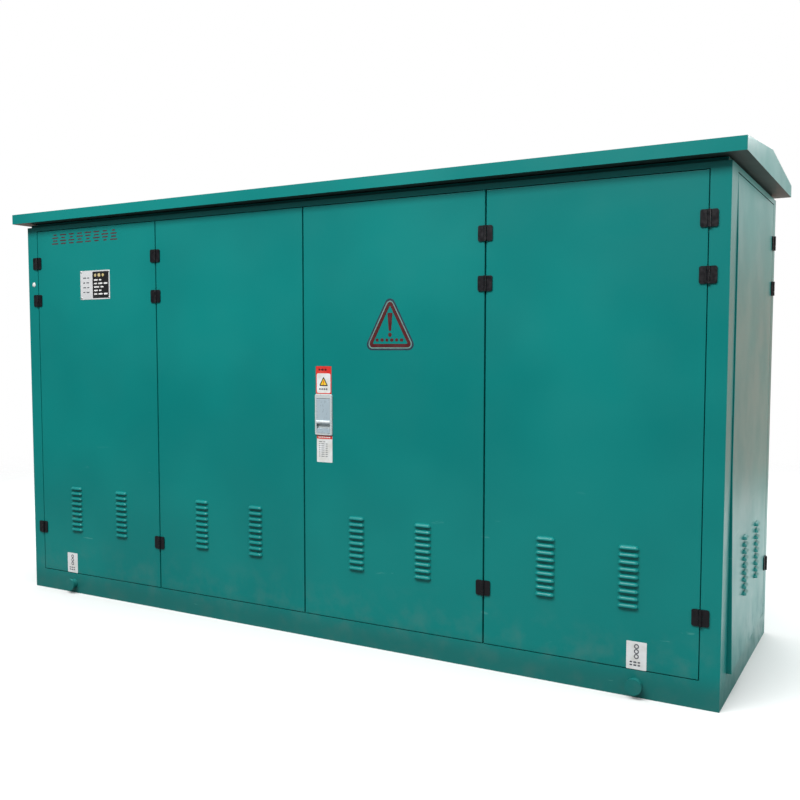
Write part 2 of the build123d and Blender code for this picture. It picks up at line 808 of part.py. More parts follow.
button_face = lock_proud - 1.0
button_back = button_floor + button_travel + lock_play
with BuildPart() as lock_button:
    low = (-half_handle + lock_play, button_bottom + lock_play)
    high = (half_handle - lock_play, button_top)
    block(lock_plane, low, high, (button_back, button_face))
    chamfer(lock_button.faces().sort_by(Axis.Y)[0].edges(), 1.0)
write(lock_button, "lock_button")

gearbox_front = -lock_housing_depth - hole_clearance
with BuildPart() as lock_gearbox:
    half = (gearbox_size[0] / 2, gearbox_size[1] / 2)
    block(lock_plane, (-half[0], -half[1]), half, (gearbox_front - gearbox_size[2], gearbox_front))
    fillet(lock_gearbox.edges().filter_by(Axis.Y), 3.0)
    through = Plane(lock_plane.origin, x_dir=(1, 0, 0), z_dir=(0, 0, 1))
    rods(through, [(0, rod_depth)], rod_radius + rod_clearance, (-half[1], half[1]), Mode.SUBTRACT)
write(lock_gearbox, "lock_gearbox")

rod_spot = (lock_from_seam, rod_depth - half_depth)
with BuildPart() as lock_upper_rod:
    start = lock_height + rod_inner_end
    rods(Plane.XY.offset(start), [rod_spot], rod_radius, (0, leaf_top - start))
    chamfer(lock_upper_rod.faces().sort_by(Axis.Z)[-1].edges(), 1.0)
write(lock_upper_rod, "lock_upper_rod")

with BuildPart() as lock_lower_rod:
    start = lock_height - rod_inner_end
    rods(Plane.XY.offset(leaf_bottom), [rod_spot], rod_radius, (0, start - leaf_bottom))
    chamfer(lock_lower_rod.faces().sort_by(Axis.Z)[0].edges(), 1.0)
write(lock_lower_rod, "lock_lower_rod")


# ================= bolts inside leaf 2 and the side door =================
knob_radius = 5.0
knob_reach = 24.0
for name, face, along in bolt_rows:
    spot = face.origin + face.x_dir * along + face.z_dir * -rod_depth
    spots = [(spot.X, spot.Y)]
    top_end = leaf_top - skin - bolt_tip_gap
    low_end = leaf_bottom + skin + bolt_tip_gap
    with BuildPart() as top_bolt:
        rods(Plane.XY.offset(top_end - bolt_length), spots, bolt_radius, (0, bolt_length))
        knob = [(along, top_end - bolt_length + knob_radius)]
        rods(face, knob, knob_radius, (-rod_depth - knob_reach, -rod_depth))
    write(top_bolt, f"{name}_top_bolt")
    with BuildPart() as bottom_bolt:
        rods(Plane.XY.offset(low_end), spots, bolt_radius, (0, bolt_length))
        knob = [(along, low_end + bolt_length - knob_radius)]
        rods(face, knob, knob_radius, (-rod_depth - knob_reach, -rod_depth))
    write(bottom_bolt, f"{name}_bottom_bolt")

# ================= floor and switchgear frame =================
bearer_reach = half_depth - sill_sheet
half_section = frame_section / 2
with BuildPart() as floor_bearers:
    for x in upright_positions:
        section = Plane(origin=(x, 0, sill_sheet + half_section), x_dir=(1, 0, 0), z_dir=(0, 1, 0))
        with BuildSketch(section) as tube:
            RectangleRounded(frame_section, frame_section, frame_wall)
            offset(amount=-frame_wall, kind=Kind.INTERSECTION, mode=Mode.SUBTRACT)
        extrude(tube.sketch, amount=bearer_reach, both=True)
write(floor_bearers, "floor_bearers")

floor_reach_y = half_depth - floor_side_gap
floor_end = half_width - floor_side_gap
floor_breaks = (-floor_end, upright_positions[1], upright_positions[2], floor_end)
grommet_spots = [(x, grommet_y) for x in way_positions]
floor_top = floor_level + floor_sheet
with BuildPart() as floor_plates:
    for left, right in zip(floor_breaks[:-1], floor_breaks[1:]):
        low = (left + edge_gap, -floor_reach_y)
        block(Plane.XY, low, (right - edge_gap, floor_reach_y), (floor_level, floor_top))
    rods(Plane.XY, grommet_spots, grommet_radius, (floor_level, floor_top), Mode.SUBTRACT)
write(floor_plates, "floor_plates")

grommet_lip = 8.0
grommet_groove = 0.2
with BuildPart() as cable_grommets:
    with BuildSketch(Plane.XZ) as outline:
        with BuildLine():
            neck = grommet_radius - grommet_groove
            foot = floor_level - grommet_groove
            brim = floor_top + grommet_groove
            Polyline(
                (0, foot - 6),
                (grommet_radius + grommet_lip, foot - 6),
                (grommet_radius + grommet_lip, foot),
                (neck, foot),
                (neck, brim),
                (grommet_radius + grommet_lip, brim),
                (grommet_radius + grommet_lip - 2, brim + 6),
                (grommet_radius * 0.75, brim + 14),
                (grommet_radius * 0.7, brim + 26),
                (grommet_radius * 0.45, brim + 30),
                (grommet_radius * 0.4, brim + 42),
                (0, brim + 42),
                close=True,
            )
        make_face()
    revolve(axis=Axis.Z)
one_grommet = cable_grommets.part
with BuildPart() as cable_grommets:
    with Locations(*[(x, y, 0) for x, y in grommet_spots]):
        add(one_grommet)
write(cable_grommets, "cable_grommets")

upright_foot = floor_level + floor_sheet
with BuildPart() as equipment_frame:
    for x in upright_positions:
        low = (x - half_section, frame_y)
        block(Plane.XY, low, (x + half_section, frame_back), (upright_foot, upright_top))
        low = (low[0] + frame_wall, frame_y + frame_wall)
        high = (x + half_section - frame_wall, frame_back - frame_wall)
        block(Plane.XY, low, high, (upright_foot, upright_top), Mode.SUBTRACT)
frame_uprights = equipment_frame.part

rail_reach = upright_positions[-1] + half_section


def rail(height, mode=Mode.ADD):
    """Square tube across the fronts of the uprights."""
    section = Plane(origin=(0, frame_y - half_section, height), x_dir=(0, 1, 0), z_dir=(1, 0, 0))
    with BuildSketch(section) as tube:
        RectangleRounded(frame_section, frame_section, frame_wall)
        offset(amount=-frame_wall, kind=Kind.INTERSECTION, mode=Mode.SUBTRACT)
    extrude(tube.sketch, amount=rail_reach, both=True, mode=mode)


with BuildPart() as equipment_frame:
    add(frame_uprights)
    for height in rail_heights:
        rail(height)
write(equipment_frame, "equipment_frame")

cable_slot = (40.0, 12.0)
cable_slot_pitch = 90.0
with BuildPart() as cable_rail:
    low = (-rail_reach, cable_rail_height - half_section)
    high = (rail_reach, cable_rail_height + half_section)
    wall = Plane(origin=(0, frame_y, 0), x_dir=(1, 0, 0), z_dir=(0, -1, 0))
    block(wall, low, high, (0, frame_section))
    low = (low[0], low[1] + frame_wall)
    high = (high[0], high[1] - frame_wall)
    block(wall, low, high, (0, frame_section - frame_wall), Mode.SUBTRACT)
    slots = int(2 * rail_reach // cable_slot_pitch)
    with BuildSketch(wall.offset(frame_section)) as openings:
        with Locations((0, cable_rail_height)):
            with GridLocations(cable_slot_pitch, 1, slots, 1):
                SlotOverall(*cable_slot)
    extrude(openings.sketch, amount=-frame_wall, mode=Mode.SUBTRACT)
write(cable_rail, "cable_rail")

# ================= bushings, caps, busbars, earth bar =================
phases = range(len(phase_heights))
bushing_spots = [
    (way + (phase - 1) * phase_spacing, phase_heights[phase]) for way in way_positions for phase in phases
]
plate_face = Plane(origin=(0, rail_front, 0), x_dir=(1, 0, 0), z_dir=(0, -1, 0))
plate_half = phase_spacing + bushing_plate_margin
plate_low = rail_heights[0] - half_section
plate_high = rail_heights[1] + half_section
bushing_hole = bushing_radius + bushing_hole_clearance
with BuildPart() as bushing_plates:
    for way in way_positions:
        low = (way - plate_half, plate_low)
        block(plate_face, low, (way + plate_half, plate_high), (0, bushing_plate))
    rods(plate_face, bushing_spots, bushing_hole, (0, bushing_plate), Mode.SUBTRACT)
write(bushing_plates, "bushing_plates")

# One bushing lies along +X of its sketch, from the busbar end to the tip of the cone.
flange_end = bushing_rear + bushing_flange
tip_end = flange_end + bushing_cone
cone_root = bushing_radius * 1.05
with BuildPart() as one_bushing:
    with BuildSketch(Plane.XY) as outline:
        with BuildLine():
            Polyline(
                (0, 0),
                (0, bushing_radius * 0.6),
                (10, bushing_radius * 0.6),
                (25, bushing_radius),
                (bushing_rear, bushing_radius),
                (bushing_rear, bushing_flange_radius),
                (flange_end, bushing_flange_radius),
                (flange_end, cone_root),
                (tip_end, bushing_tip_radius),
                (tip_end, 0),
                close=True,
            )
        make_face()
    revolve(axis=Axis.X)

cap_root = cone_root + cap_clearance
cap_tip = bushing_tip_radius + cap_clearance
cap_end = tip_end + cap_clearance
with BuildPart() as one_cap:
    with BuildSketch(Plane.XY) as outline:
        with BuildLine():
            Polyline(
                (flange_end + cap_clearance, cap_root),
                (flange_end + cap_clearance, cap_root + cap_wall * 1.6),
                (flange_end + cap_wall * 2, cap_root + cap_wall * 1.6),
                (flange_end + cap_wall * 3, cap_root + cap_wall * 0.8),
                (cap_end, cap_tip + cap_wall),
                (cap_end + cap_wall, cap_tip),
                (cap_end + cap_wall, cap_eye / 2),
                (cap_end + cap_wall + cap_eye, cap_eye / 2),
                (cap_end + cap_wall + cap_eye, 0),
                (cap_end, 0),
                (cap_end, cap_tip),
                close=True,
            )
        make_face()
    revolve(axis=Axis.X)
    with Locations((cap_end + cap_wall + cap_eye * 0.55, 0, 0)):
        Cylinder(cap_eye * 0.25, cap_eye * 2, mode=Mode.SUBTRACT)

# Bushings point forwards, so the sketch's +X becomes -Y.
bushing_places = [Location((x, busbar_y, z), (0, 0, -90)) for x, z in bushing_spots]
with BuildPart() as bushings:
    with Locations(*bushing_places):
        add(one_bushing.part)
write(bushings, "bushings")

with BuildPart() as bushing_caps:
    with Locations(*bushing_places):
        add(one_cap.part)
write(bushing_caps, "bushing_caps")

with BuildPart() as busbars:
    busbar_face = Plane(origin=(0, busbar_y, 0), x_dir=(1, 0, 0), z_dir=(0, 1, 0))
    for phase in phases:
        shift = (phase - 1) * phase_spacing
        left = way_positions[0] + shift - busbar_overrun
        right = way_positions[-1] + shift + busbar_overrun
        length = right - left
        middle = (left + right) / 2
        with BuildSketch(busbar_face) as bar:
            with Locations((middle, -phase_heights[phase])):
                RectangleRounded(length, busbar_height, busbar_height * 0.2)
        extrude(bar.sketch, amount=busbar_thickness)
write(busbars, "busbars")

with BuildPart() as earth_bar:
    bar_face = Plane(origin=(0, frame_y, 0), x_dir=(1, 0, 0), z_dir=(0, -1, 0))
    half_bar = earth_bar_section[1] / 2
    low = (-rail_reach, earth_bar_height - half_bar)
    block(bar_face, low, (rail_reach, earth_bar_height + half_bar), (0, earth_bar_section[0]))
    hole_pitch = 2 * rail_reach / earth_bar_holes
    first_hole = -rail_reach + hole_pitch / 2
    spots = [(first_hole + hole * hole_pitch, earth_bar_height) for hole in range(earth_bar_holes)]
    rods(bar_face, spots, earth_bar_hole_radius, (0, earth_bar_section[0]), Mode.SUBTRACT)
write(earth_bar, "earth_bar")

# ================= lifting pins and nameplate =================
with BuildPart() as lifting_pins:
    for face in (front_face, rear_face):
        spots = [(x, lifting_z) for x in (lifting_from_end - half_width, half_width - lifting_from_end)]
        rods(face, spots, lifting_pin_radius, (0, lifting_pin_length))
        rim_end = lifting_pin_length + lifting_rim
        rods(face, spots, lifting_rim_radius, (lifting_pin_length, rim_end))
write(lifting_pins, "lifting_pins")

with BuildPart() as nameplate:
    with BuildSketch(front_face) as outline:
        with Locations((nameplate_from_post - half_opening, door_top - nameplate_from_top)):
            RectangleRounded(nameplate_size[0], nameplate_size[1], 3.0)
    extrude(amount=nameplate_size[2])
write(nameplate, "nameplate")
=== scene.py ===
import json
import math

import bmesh
import bpy
from mathutils import Matrix, Vector

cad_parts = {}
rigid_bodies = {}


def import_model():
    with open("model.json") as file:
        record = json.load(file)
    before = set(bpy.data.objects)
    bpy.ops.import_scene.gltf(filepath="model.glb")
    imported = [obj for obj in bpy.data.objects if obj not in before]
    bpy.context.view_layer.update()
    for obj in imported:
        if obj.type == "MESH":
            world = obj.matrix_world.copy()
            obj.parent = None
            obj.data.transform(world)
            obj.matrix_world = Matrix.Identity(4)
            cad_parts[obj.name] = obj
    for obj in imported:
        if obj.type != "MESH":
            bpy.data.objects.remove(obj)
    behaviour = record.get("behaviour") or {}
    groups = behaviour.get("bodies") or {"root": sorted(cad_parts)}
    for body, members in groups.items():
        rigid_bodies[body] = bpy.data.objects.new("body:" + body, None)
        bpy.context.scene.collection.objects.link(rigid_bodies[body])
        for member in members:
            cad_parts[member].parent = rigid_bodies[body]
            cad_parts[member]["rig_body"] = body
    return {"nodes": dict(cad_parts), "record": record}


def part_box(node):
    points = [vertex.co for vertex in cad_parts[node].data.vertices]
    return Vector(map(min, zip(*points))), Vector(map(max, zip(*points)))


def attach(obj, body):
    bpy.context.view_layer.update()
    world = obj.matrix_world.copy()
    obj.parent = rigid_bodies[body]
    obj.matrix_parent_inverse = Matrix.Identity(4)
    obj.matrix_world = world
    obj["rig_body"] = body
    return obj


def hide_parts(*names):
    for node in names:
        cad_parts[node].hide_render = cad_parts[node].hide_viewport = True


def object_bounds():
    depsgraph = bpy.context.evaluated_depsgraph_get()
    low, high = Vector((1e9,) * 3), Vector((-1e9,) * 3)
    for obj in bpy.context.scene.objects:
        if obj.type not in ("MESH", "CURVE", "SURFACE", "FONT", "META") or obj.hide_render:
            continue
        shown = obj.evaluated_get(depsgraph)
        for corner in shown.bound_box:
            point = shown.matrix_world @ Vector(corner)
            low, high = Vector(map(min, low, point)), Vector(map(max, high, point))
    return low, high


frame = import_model()
cad_low, cad_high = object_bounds()
record = frame["record"]

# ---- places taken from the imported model, in metres: each box is its lowest and highest corner ----
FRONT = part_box("front_posts")[0].y
LEAF_1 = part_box("leaf_1_panel")
LEAF_3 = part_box("leaf_3_panel")
LEAF_4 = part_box("leaf_4_panel")
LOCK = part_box("lock_body")
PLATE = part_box("nameplate")
LOCK_MIDDLE = (LOCK[0] + LOCK[1]) / 2
PLATE_MIDDLE = (PLATE[0] + PLATE[1]) / 2

# ---- printed pieces ----
FILM = 0.0003                # thickness of a vinyl label
INK = 0.00025                # height of the print on it


# ================= shader graphs =================
class Graph:
    """One node tree, with short calls for the nodes that every finish here uses."""

    def __init__(self, tree, coordinates="Object"):
        self.tree = tree
        self.coordinates = tree.nodes.new("ShaderNodeTexCoord").outputs[coordinates]

    def put(self, socket, value):
        """Set a socket, or link it when the value is another node's output."""
        if isinstance(value, bpy.types.NodeSocket):
            self.tree.links.new(value, socket)
        else:
            socket.default_value = value

    def add(self, kind, values, **settings):
        """New node; values are its inputs by name or number."""
        node = self.tree.nodes.new(kind)
        for setting, value in settings.items():
            setattr(node, setting, value)
        for key, value in values.items():
            self.put(node.inputs[key], value)
        return node

    def stretched(self, stretch):
        """Object coordinates scaled along each axis."""
        values = {"Vector": self.coordinates, "Scale": stretch}
        return self.add("ShaderNodeMapping", values).outputs["Vector"]

    def noise(self, scale, detail=3.0, roughness=0.5, stretch=(1, 1, 1)):
        """Soft random pattern about one half."""
        values = {
            "Vector": self.stretched(stretch),
            "Scale": scale,
            "Detail": detail,
            "Roughness": roughness,
        }
        return self.add("ShaderNodeTexNoise", values).outputs["Fac"]

    def cells(self, scale, output):
        """One output of a pattern of irregular cells."""
        values = {"Vector": self.coordinates, "Scale": scale}
        return self.add("ShaderNodeTexVoronoi", values).outputs[output]

    def axis(self, name):
        """One coordinate of the point being shaded."""
        values = {"Vector": self.coordinates}
        return self.add("ShaderNodeSeparateXYZ", values).outputs[name]

    def facing(self, name):
        """Part of the surface's own normal along an axis."""
        normal = self.add("ShaderNodeNewGeometry", {}).outputs["Normal"]
        return self.add("ShaderNodeSeparateXYZ", {"Vector": normal}).outputs[name]

    def remap(self, value, start, end, low=0.0, high=1.0):
        """Smooth step of a value from low at start to high at end."""
        values = {"Value": value, "From Min": start, "From Max": end, "To Min": low, "To Max": high}
        node = self.add("ShaderNodeMapRange", values, interpolation_type="SMOOTHSTEP")
        return node.outputs["Result"]

    def math(self, operation, first, second):
        """Result of an operation on two numbers."""
        node = self.add("ShaderNodeMath", {0: first, 1: second}, operation=operation)
        return node.outputs["Value"]

    def mix(self, factor, first, second):
        """Colour between two colours."""
        node = self.add("ShaderNodeMix", {"Factor": factor}, data_type="RGBA")
        self.put(node.inputs[6], first)
        self.put(node.inputs[7], second)
        return node.outputs[2]

    def bump(self, height, distance, below=None):
        """Surface normal from a height, stacked on another bump when one is given."""
        values = {"Height": height, "Distance": distance, "Strength": 1.0}
        if below is not None:
            values["Normal"] = below
        return self.add("ShaderNodeBump", values).outputs["Normal"]


class Finish(Graph):
    """Node material of one finish, ending in its principled shader."""

    def __init__(self, name):
        self.material = bpy.data.materials.new(name)
        self.material.use_nodes = True
        super().__init__(self.material.node_tree)

    def finish(self, colour, roughness, normal, constants=None):
        """Set the shader's inputs and return the material."""
        values = {"Base Color": colour, "Roughness": roughness, "Normal": normal}
        values.update(constants or {})
        shader = self.tree.nodes["Principled BSDF"]
        for key, value in values.items():
            self.put(shader.inputs[key], value)
        return self.material


def srgb(red, green, blue):
    """Linear colour from display values of 0 to 255."""
    def linear(value):
        value /= 255
        return value / 12.92 if value <= 0.04045 else ((value + 0.055) / 1.055) ** 2.4

    return (linear(red), linear(green), linear(blue), 1.0)


# ================= finishes =================
def cabinet_paint():
    """Green powder coat: waves of the sheet, orange peel, dust low down, darker and greyer at the
    foot, scuffs, and painted shade under the eaves, where downward faces turn brownish grey and
    duller.
    """
    graph = Finish("cabinet_paint")
    clouds = graph.remap(graph.noise(1.7, detail=2.0), 0.35, 0.65)
    colour = graph.mix(clouds, srgb(4, 122, 118), srgb(8, 130, 125))
    height = graph.axis("Z")
    patches = graph.remap(graph.noise(11.0, detail=6.0, roughness=0.6), 0.42, 0.75)
    low_down = graph.remap(height, 0.30, 0.0, 0.0, 0.28)
    dust = graph.math("MULTIPLY", patches, low_down)
    colour = graph.mix(dust, colour, srgb(110, 132, 124))
    # darker and greyer towards the foot of the cabinet
    darker_at_foot = graph.remap(height, 0.12, 0.03, 0.0, 0.55)
    colour = graph.mix(darker_at_foot, colour, srgb(34, 98, 93))
    strokes = graph.remap(graph.noise(7.0, detail=5.0, stretch=(1, 1, 5)), 0.70, 0.74, 0.0, 0.35)
    scuffs = graph.math("MULTIPLY", strokes, graph.remap(height, 0.75, 0.35))
    colour = graph.mix(scuffs, colour, srgb(96, 168, 156))
    # painted shade: faces turned down near the roof are mixed towards a dark brownish grey and made
    # rougher
    eaves = graph.remap(height, 1.50, 1.58)
    eaves_painted_shade = graph.math("MULTIPLY", graph.remap(graph.facing("Z"), -0.5, -0.9), eaves)
    colour = graph.mix(graph.math("MULTIPLY", eaves_painted_shade, 0.85), colour, srgb(46, 42, 38))
    roughness = graph.remap(graph.noise(5.0, detail=4.0), 0.3, 0.7, 0.30, 0.38)
    dull = graph.math("ADD", graph.math("MULTIPLY", dust, 0.9), graph.math("MULTIPLY", eaves_painted_shade, 0.3))
    roughness = graph.math("ADD", roughness, dull)
    waves = graph.bump(graph.noise(2.1, detail=1.0), 0.0035)
    peel = graph.bump(graph.noise(420.0, detail=1.0), 0.00003, below=waves)
    gloss = {"Specular IOR Level": 0.3, "Coat Weight": 0.10, "Coat Roughness": 0.12}
    return graph.finish(colour, roughness, peel, gloss)


def black_hinge():
    """Black coated zinc casting: fine grain, greyer where it is rubbed."""
    graph = Finish("black_hinge")
    rubbed = graph.remap(graph.noise(60.0, detail=5.0), 0.52, 0.72)
    colour = graph.mix(rubbed, srgb(12, 10, 15), srgb(30, 28, 34))
    roughness = graph.remap(graph.noise(90.0), 0.3, 0.7, 0.28, 0.46)
    grain = graph.bump(graph.noise(900.0, detail=2.0), 0.00006)
    return graph.finish(colour, roughness, grain)


def steel():
    """Zinc plated steel: bright, slightly clouded, with turning marks."""
    graph = Finish("steel")
    clouds = graph.noise(40.0, detail=5.0)
    colour = graph.mix(clouds, srgb(176, 178, 182), srgb(214, 214, 210))
    roughness = graph.remap(clouds, 0.3, 0.7, 0.22, 0.42)
    marks = graph.bump(graph.noise(700.0, stretch=(1, 1, 0.1)), 0.00003)
    return graph.finish(colour, roughness, marks, {"Metallic": 1.0})


def galvanised():
    """Hot dip galvanised sheet: grey spangle of crystals, each with its own shade and gloss."""
    graph = Finish("galvanised")
    crystal = graph.add("ShaderNodeSeparateColor", {"Color": graph.cells(70.0, "Color")}).outputs[0]
    shade = graph.math("ADD", graph.math("MULTIPLY", crystal, 0.7), graph.noise(8.0, detail=4.0))
    colour = graph.mix(graph.remap(shade, 0.4, 1.2), srgb(128, 134, 138), srgb(196, 200, 202))
    roughness = graph.remap(crystal, 0.0, 1.0, 0.30, 0.50)
    borders = graph.bump(graph.cells(70.0, "Distance"), 0.0002)
    return graph.finish(colour, roughness, borders, {"Metallic": 0.9})


def lock_alloy(name, deep, light):
    """Lacquered zinc die casting: faint flow marks, worn paler where the grip stands proud."""
    graph = Finish(name)
    wear_starts, wear_is_full = FRONT - 0.0062, FRONT - 0.0078
    grip = graph.remap(graph.axis("Y"), wear_starts, wear_is_full)
    flow = graph.noise(30.0, detail=4.0, stretch=(1, 1, 0.3))
    colour = graph.mix(flow, srgb(*deep), srgb(*light))
    colour = graph.mix(grip, colour, srgb(222, 230, 232))
    roughness = graph.remap(graph.noise(120.0, detail=4.0), 0.3, 0.7, 0.24, 0.38)
    grain = graph.bump(graph.noise(800.0), 0.00004)
    return graph.finish(colour, roughness, grain, {"Metallic": 0.15})


def rubber():
    """Black EPDM: matt, bloomed grey in patches."""
    graph = Finish("rubber")
    bloom = graph.remap(graph.noise(30.0, detail=6.0), 0.45, 0.75)
    colour = graph.mix(bloom, srgb(20, 20, 21), srgb(52, 52, 52))
    grain = graph.bump(graph.noise(600.0, detail=3.0), 0.00008)
    roughness = graph.remap(bloom, 0.0, 1.0, 0.62, 0.85)
    return graph.finish(colour, roughness, grain)


def cap_rubber():
    """Red EPDM caps: satin, slightly chalky."""
    graph = Finish("cap_rubber")
    chalk = graph.noise(45.0, detail=5.0)
    colour = graph.mix(chalk, srgb(122, 22, 18), srgb(150, 40, 32))
    grain = graph.bump(graph.noise(500.0), 0.00006)
    roughness = graph.remap(chalk, 0.3, 0.7, 0.42, 0.60)
    return graph.finish(colour, roughness, grain)


def epoxy():
    """Brown cast epoxy: glossy, with faint flow lines round the axis."""
    graph = Finish("epoxy")
    flow = graph.noise(25.0, detail=4.0, stretch=(1, 4, 1))
    colour = graph.mix(flow, srgb(86, 34, 22), srgb(118, 52, 34))
    roughness = graph.remap(flow, 0.3, 0.7, 0.16, 0.28)
    ripple = graph.bump(graph.noise(60.0, stretch=(1, 3, 1)), 0.0002)
    return graph.finish(colour, roughness, ripple, {"Coat Weight": 0.3})


def sleeved_copper():
    """Heat-shrink sleeves on the busbars, one colour for each phase by its height."""
    graph = Finish("sleeved_copper")
    low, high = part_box("busbars")
    bar_height = 0.04
    step = (high.z - low.z - bar_height) / 2
    middle = bar_height / 2
    height = graph.axis("Z")
    above_first = graph.remap(height, low.z + 0.5 * step, low.z + 0.6 * step + middle)
    above_second = graph.remap(height, low.z + 1.5 * step, low.z + 1.6 * step + middle)
    colour = graph.mix(above_first, srgb(168, 34, 26), srgb(22, 112, 48))
    colour = graph.mix(above_second, colour, srgb(206, 168, 26))
    wrinkles = graph.noise(90.0, detail=4.0, stretch=(0.3, 1, 1))
    colour = graph.mix(graph.remap(wrinkles, 0.4, 0.8, 0.0, 0.25), colour, srgb(120, 100, 70))
    roughness = graph.remap(wrinkles, 0.3, 0.7, 0.38, 0.55)
    return graph.finish(colour, roughness, graph.bump(wrinkles, 0.0002))


def copper():
    """Bare copper bar: drawn marks along its length and brown patches."""
    graph = Finish("copper")
    patina = graph.remap(graph.noise(14.0, detail=6.0), 0.45, 0.7)
    colour = graph.mix(patina, srgb(216, 134, 96), srgb(140, 82, 58))
    drawn = graph.noise(300.0, detail=3.0, stretch=(0.04, 1, 1))
    roughness = graph.remap(patina, 0.0, 1.0, 0.24, 0.48)
    return graph.finish(colour, roughness, graph.bump(drawn, 0.00005), {"Metallic": 1.0})


def plate():
    """Anodised aluminium plate: brushed along its length."""
    graph = Finish("plate")
    brushed = graph.noise(900.0, detail=2.0, stretch=(0.03, 1, 1))
    clouds = graph.noise(12.0)
    colour = graph.mix(clouds, srgb(222, 224, 226), srgb(244, 244, 244))
    roughness = graph.remap(brushed, 0.3, 0.7, 0.22, 0.36)
    return graph.finish(colour, roughness, graph.bump(brushed, 0.00002), {"Metallic": 0.25})


def vinyl(name, colour, faded, gloss=0.35):
    """Printed or plain vinyl film: slight fading, uneven gloss and a slow ripple of the film."""
    graph = Finish(name)
    fading = graph.remap(graph.noise(28.0, detail=5.0), 0.40, 0.72)
    shade = graph.mix(fading, srgb(*colour), srgb(*faded))
    roughness = graph.remap(graph.noise(70.0, detail=3.0), 0.3, 0.7, gloss, gloss + 0.14)
    ripple = graph.bump(graph.noise(22.0, detail=1.0), 0.0006)
    return graph.finish(shade, roughness, ripple)


FINISHES = {
    "cabinet_paint": cabinet_paint(),
    "black_hinge": black_hinge(),
    "steel": steel(),
    "galvanised": galvanised(),
    "lock_alloy": lock_alloy("lock_alloy", (166, 184, 194), (186, 202, 210)),
    "rubber": rubber(),
    "cap_rubber": cap_rubber(),
    "epoxy": epoxy(),
    "sleeved_copper": sleeved_copper(),
    "copper": copper(),
    "plate": plate(),
    "label_print": vinyl("white_vinyl", (232, 234, 234), (214, 214, 208)),
}
DARK_RED = vinyl("dark_red_print", (76, 9, 14), (88, 22, 26), gloss=0.42)
DULL_RED = vinyl("dull_red_print", (74, 40, 46), (80, 62, 64), gloss=0.42)
SIGNAL_RED = vinyl("red_print", (214, 48, 40), (222, 84, 72))
SIGNAL_YELLOW = vinyl("yellow_print", (240, 196, 30), (236, 204, 90))
BLACK_PRINT = vinyl("black_print", (22, 22, 24), (44, 44, 46))
GREY_PRINT = vinyl("grey_print", (70, 72, 80), (104, 106, 112))
PALE_PRINT = vinyl("pale_print", (112, 148, 142), (96, 134, 130))
NAVY_PRINT = vinyl("navy_print", (36, 52, 66), (50, 68, 80))
GOLD_PRINT = vinyl("gold_print", (208, 190, 128), (196, 186, 150))
WHITE_PRINT = vinyl("white_print", (236, 236, 234), (220, 220, 216))

BEZEL_ALLOY = lock_alloy("bezel_alloy", (196, 204, 204), (214, 220, 220))

SLOTS = {entry["node"]: entry["material_slot"] for entry in record["subparts"]}
for name, slot in SLOTS.items():
    materials = frame["nodes"][name].data.materials
    materials.clear()
    materials.append(BEZEL_ALLOY if name == "lock_body" else FINISHES[slot])


# ================= building blocks =================
def piece(name, mesh_maker, material, body):
    """New object from a mesh maker, with its finish, riding on a body."""
    mesh = bpy.data.meshes.new(name)
    shape = bmesh.new()
    mesh_maker(shape)
    bmesh.ops.recalc_face_normals(shape, faces=shape.faces)
    shape.to_mesh(mesh)
    shape.free()
    made = bpy.data.objects.new(name, mesh)
    bpy.context.scene.collection.objects.link(made)
    mesh.materials.append(material)
    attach(made, body)
    return made


def front_point(spot, proud):
    """Point on the front, from (x, z), standing out of the skin."""
    return Vector((spot[0], FRONT - proud, spot[1]))


def plates(outlines, low, high):
    """Mesh maker: closed plates on the front, one for each outline of (x, z) points."""
    def make(shape):
        for outline in outlines:
            back = [shape.verts.new(front_point(spot, low)) for spot in outline]
            face = [shape.verts.new(front_point(spot, high)) for spot in outline]
            shape.faces.new(back)
            shape.faces.new(face)
            for i in range(len(outline)):
                j = (i + 1) % len(outline)
                shape.faces.new((back[i], back[j], face[j], face[i]))

    return make


def join_loops(shape, loops):
    """Faces between each loop of points and the next, and from the last back to the first."""
    for first, second in zip(loops, loops[1:] + loops[:1]):
        for i in range(len(first)):
            j = (i + 1) % len(first)
            shape.faces.new((first[i], first[j], second[j], second[i]))


def rings(pairs, low, high):
    """Mesh maker: closed frames on the front between outer and inner outlines of equal length."""
    def make(shape):
        for outer, inner in pairs:
            loops = [
                [shape.verts.new(front_point(spot, proud)) for spot in outline]
                for outline, proud in ((outer, low), (outer, high), (inner, high), (inner, low))
            ]
            join_loops(shape, loops)

    return make


def rounded(corners, radius, steps=6):
    """Outline through corners, given anticlockwise, each rounded to a radius."""
    outline = []
    count = len(corners)
    for i, corner in enumerate(corners):
        corner = Vector(corner)
        before = (Vector(corners[i - 1]) - corner).normalized()
        after = (Vector(corners[(i + 1) % count]) - corner).normalized()
        half = before.angle(after) / 2
        centre = corner + (before + after).normalized() * radius / math.sin(half)
        start = corner + before * radius / math.tan(half) - centre
        sweep = math.pi - 2 * half
        for step in range(steps + 1):
            angle = sweep * step / steps
            turned = Matrix.Rotation(angle, 2) @ start
            outline.append(tuple(centre + turned))
    return outline


def rectangle(middle, width, height, radius=0.0, steps=4):
    """Outline of a rectangle about its middle."""
    x, z = middle
    half_width, half_height = width / 2, height / 2
    corners = [
        (x - half_width, z - half_height),
        (x + half_width, z - half_height),
        (x + half_width, z + half_height),
        (x - half_width, z + half_height),
    ]
    return rounded(corners, radius, steps) if radius else corners


def triangle(middle_x, base, width, height, inset, radius):
    """Outline of an upright triangle with rounded corners, inset from its nominal edges."""
    half = width / 2
    slope = math.hypot(half, height)
    left = (middle_x - half + inset * (slope + half) / height, base + inset)
    right = (2 * middle_x - left[0], base + inset)
    apex = (middle_x, base + height - inset * slope / half)
    return rounded([left, right, apex], radius)


